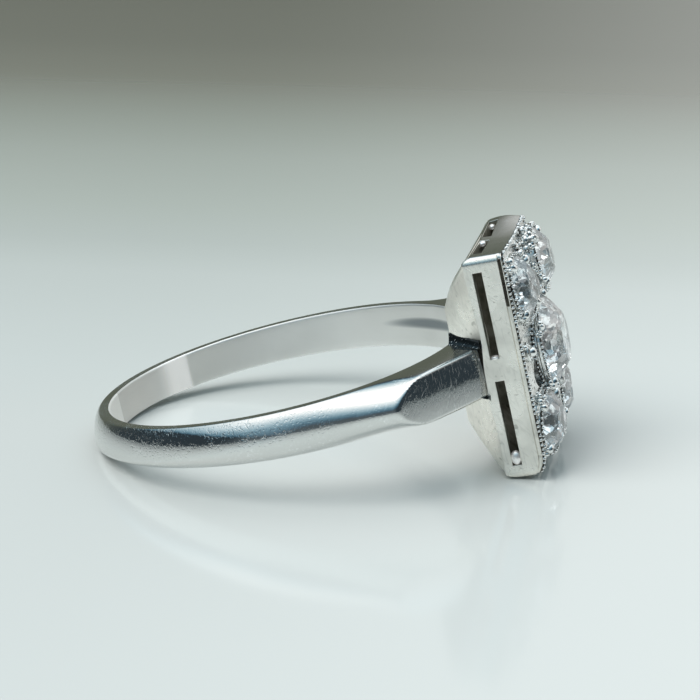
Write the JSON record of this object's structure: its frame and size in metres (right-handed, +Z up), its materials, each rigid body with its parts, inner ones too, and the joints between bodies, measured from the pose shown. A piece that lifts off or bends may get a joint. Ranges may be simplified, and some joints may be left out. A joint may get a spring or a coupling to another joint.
{
  "type": "diamond ring",
  "caption": "Finger ring with a D-section shank and a rectangular pierced plaque head set with round old-cut diamonds, lying on its side.",
  "frame": {"origin": "bottom centre of the bounding box of the ring as it lies on its side, on the plane it rests on", "axes": "+X to the front of the head, as it leans down, +Y across the finger, from the near side of the head to the far side, +Z up; the axis of the finger hole leans back by 12.7 degrees from +Z towards -X"},
  "size_m": [0.0226, 0.0192, 0.0105],
  "materials": {
    "platinum": "polished, with fine scratches, satin on the walls of the head",
    "diamond": "polished facets"
  },
  "bodies": {
    "root": {"shank_and_setting": "platinum", "centre_stone": "diamond", "upper_near_stone": "diamond", "upper_far_stone": "diamond", "lower_near_stone": "diamond", "lower_far_stone": "diamond"}
  },
  "joints": []
}
